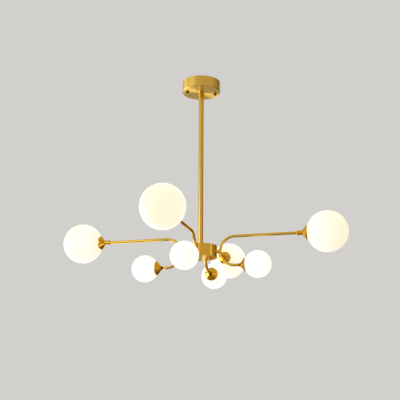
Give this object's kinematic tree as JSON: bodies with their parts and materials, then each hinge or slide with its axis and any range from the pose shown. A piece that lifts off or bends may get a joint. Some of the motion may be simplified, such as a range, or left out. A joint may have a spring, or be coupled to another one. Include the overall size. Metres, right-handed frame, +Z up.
{
  "type": "branch chandelier",
  "caption": "Ceiling chandelier with a round canopy, straight stem, drum hub and C-shaped arms, each holding a large and a small opal globe that unscrew.",
  "frame": {"origin": "on the ceiling, on the stem's axis, at the centre of the bracket's upper face", "axes": "+Z up along the stem into the ceiling; +X along the arm at the right of the picture, -Y along the arm nearest the camera"},
  "size_m": [1.09, 1.09, 0.7825],
  "materials": {
    "canopy_brass": "brushed, lacquered",
    "stem_brass": "brushed along, lacquered",
    "hub_brass": "turned and brushed, lacquered",
    "arm_brass": "satin polished",
    "cup_brass": "spun and satin polished",
    "polished_brass": "turned and polished",
    "zinc_steel": "zinc plated",
    "black_steel": "black oxide",
    "block_nylon": "moulded",
    "lead_sheath": "extruded",
    "holder_ceramic": "unglazed",
    "bulb_frosted": "frosted, lit",
    "seal_silicone": "moulded, translucent white",
    "opal_glass": "blown opal, lit from inside"
  },
  "bodies": {
    "fixture": {"ceiling_bracket": "zinc_steel", "canopy": "canopy_brass", "canopy_screws": "black_steel", "screw_cups": "polished_brass", "terminal_block": "block_nylon", "stem": "stem_brass", "stem_nuts": "zinc_steel", "hub_body": "hub_brass", "hub_cover": "hub_brass", "arm_nipples": "polished_brass", "arm_nuts": "zinc_steel", "wiring": "lead_sheath", "arm_right": "arm_brass", "arm_back": "arm_brass", "arm_left": "arm_brass", "arm_front": "arm_brass", "sleeve_right": "polished_brass", "sleeve_back": "polished_brass", "sleeve_left": "polished_brass", "sleeve_front": "polished_brass", "cup_right_large": "cup_brass", "cup_back_large": "cup_brass", "cup_left_large": "cup_brass", "cup_front_large": "cup_brass", "cup_right_small": "cup_brass", "cup_back_small": "cup_brass", "cup_left_small": "cup_brass", "cup_front_small": "cup_brass", "lampholder_right_large": "holder_ceramic", "lampholder_back_large": "holder_ceramic", "lampholder_left_large": "holder_ceramic", "lampholder_front_large": "holder_ceramic", "lampholder_right_small": "holder_ceramic", "lampholder_back_small": "holder_ceramic", "lampholder_left_small": "holder_ceramic", "lampholder_front_small": "holder_ceramic", "bulb_right_large": "bulb_frosted", "bulb_back_large": "bulb_frosted", "bulb_left_large": "bulb_frosted", "bulb_front_large": "bulb_frosted", "bulb_right_small": "bulb_frosted", "bulb_back_small": "bulb_frosted", "bulb_left_small": "bulb_frosted", "bulb_front_small": "bulb_frosted"},
    "seal_right_large": {"seal_right_large": "seal_silicone"},
    "globe_right_large": {"globe_right_large": "opal_glass"},
    "seal_back_large": {"seal_back_large": "seal_silicone"},
    "globe_back_large": {"globe_back_large": "opal_glass"},
    "seal_left_large": {"seal_left_large": "seal_silicone"},
    "globe_left_large": {"globe_left_large": "opal_glass"},
    "seal_front_large": {"seal_front_large": "seal_silicone"},
    "globe_front_large": {"globe_front_large": "opal_glass"},
    "seal_right_small": {"seal_right_small": "seal_silicone"},
    "globe_right_small": {"globe_right_small": "opal_glass"},
    "seal_back_small": {"seal_back_small": "seal_silicone"},
    "globe_back_small": {"globe_back_small": "opal_glass"},
    "seal_left_small": {"seal_left_small": "seal_silicone"},
    "globe_left_small": {"globe_left_small": "opal_glass"},
    "seal_front_small": {"seal_front_small": "seal_silicone"},
    "globe_front_small": {"globe_front_small": "opal_glass"}
  },
  "joints": [
    {"name": "right_large_unscrew", "type": "hinge", "parent": "fixture", "child": "seal_right_large", "pos_m": [0.39903, 0, -0.6245], "axis": [1, 0, 0], "range_deg": [0, 540]},
    {"name": "right_large_draw_out", "type": "slide", "parent": "seal_right_large", "child": "globe_right_large", "axis": [1, 0, 0], "range_m": [0, 0.006]},
    {"name": "back_large_unscrew", "type": "hinge", "parent": "fixture", "child": "seal_back_large", "pos_m": [0, 0.39903, -0.6245], "axis": [0, 1, 0], "range_deg": [0, 540]},
    {"name": "back_large_draw_out", "type": "slide", "parent": "seal_back_large", "child": "globe_back_large", "axis": [0, 1, 0], "range_m": [0, 0.006]},
    {"name": "left_large_unscrew", "type": "hinge", "parent": "fixture", "child": "seal_left_large", "pos_m": [-0.39903, 0, -0.6245], "axis": [-1, 0, 0], "range_deg": [0, 540]},
    {"name": "left_large_draw_out", "type": "slide", "parent": "seal_left_large", "child": "globe_left_large", "axis": [-1, 0, 0], "range_m": [0, 0.006]},
    {"name": "front_large_unscrew", "type": "hinge", "parent": "fixture", "child": "seal_front_large", "pos_m": [0, -0.39903, -0.6245], "axis": [0, -1, 0], "range_deg": [0, 540]},
    {"name": "front_large_draw_out", "type": "slide", "parent": "seal_front_large", "child": "globe_front_large", "axis": [0, -1, 0], "range_m": [0, 0.006]},
    {"name": "right_small_unscrew", "type": "hinge", "parent": "fixture", "child": "seal_right_small", "pos_m": [0.17153, 0, -0.7325], "axis": [1, 0, 0], "range_deg": [0, 540]},
    {"name": "right_small_draw_out", "type": "slide", "parent": "seal_right_small", "child": "globe_right_small", "axis": [1, 0, 0], "range_m": [0, 0.006]},
    {"name": "back_small_unscrew", "type": "hinge", "parent": "fixture", "child": "seal_back_small", "pos_m": [0, 0.17153, -0.7325], "axis": [0, 1, 0], "range_deg": [0, 540]},
    {"name": "back_small_draw_out", "type": "slide", "parent": "seal_back_small", "child": "globe_back_small", "axis": [0, 1, 0], "range_m": [0, 0.006]},
    {"name": "left_small_unscrew", "type": "hinge", "parent": "fixture", "child": "seal_left_small", "pos_m": [-0.17153, 0, -0.7325], "axis": [-1, 0, 0], "range_deg": [0, 540]},
    {"name": "left_small_draw_out", "type": "slide", "parent": "seal_left_small", "child": "globe_left_small", "axis": [-1, 0, 0], "range_m": [0, 0.006]},
    {"name": "front_small_unscrew", "type": "hinge", "parent": "fixture", "child": "seal_front_small", "pos_m": [0, -0.17153, -0.7325], "axis": [0, -1, 0], "range_deg": [0, 540]},
    {"name": "front_small_draw_out", "type": "slide", "parent": "seal_front_small", "child": "globe_front_small", "axis": [0, -1, 0], "range_m": [0, 0.006]}
  ],
  "couplings": [
    {"joint": "right_large_draw_out", "follows": "right_large_unscrew", "m_per_rad": 0.00063662},
    {"joint": "back_large_draw_out", "follows": "back_large_unscrew", "m_per_rad": 0.00063662},
    {"joint": "left_large_draw_out", "follows": "left_large_unscrew", "m_per_rad": 0.00063662},
    {"joint": "front_large_draw_out", "follows": "front_large_unscrew", "m_per_rad": 0.00063662},
    {"joint": "right_small_draw_out", "follows": "right_small_unscrew", "m_per_rad": 0.00063662},
    {"joint": "back_small_draw_out", "follows": "back_small_unscrew", "m_per_rad": 0.00063662},
    {"joint": "left_small_draw_out", "follows": "left_small_unscrew", "m_per_rad": 0.00063662},
    {"joint": "front_small_draw_out", "follows": "front_small_unscrew", "m_per_rad": 0.00063662}
  ]
}
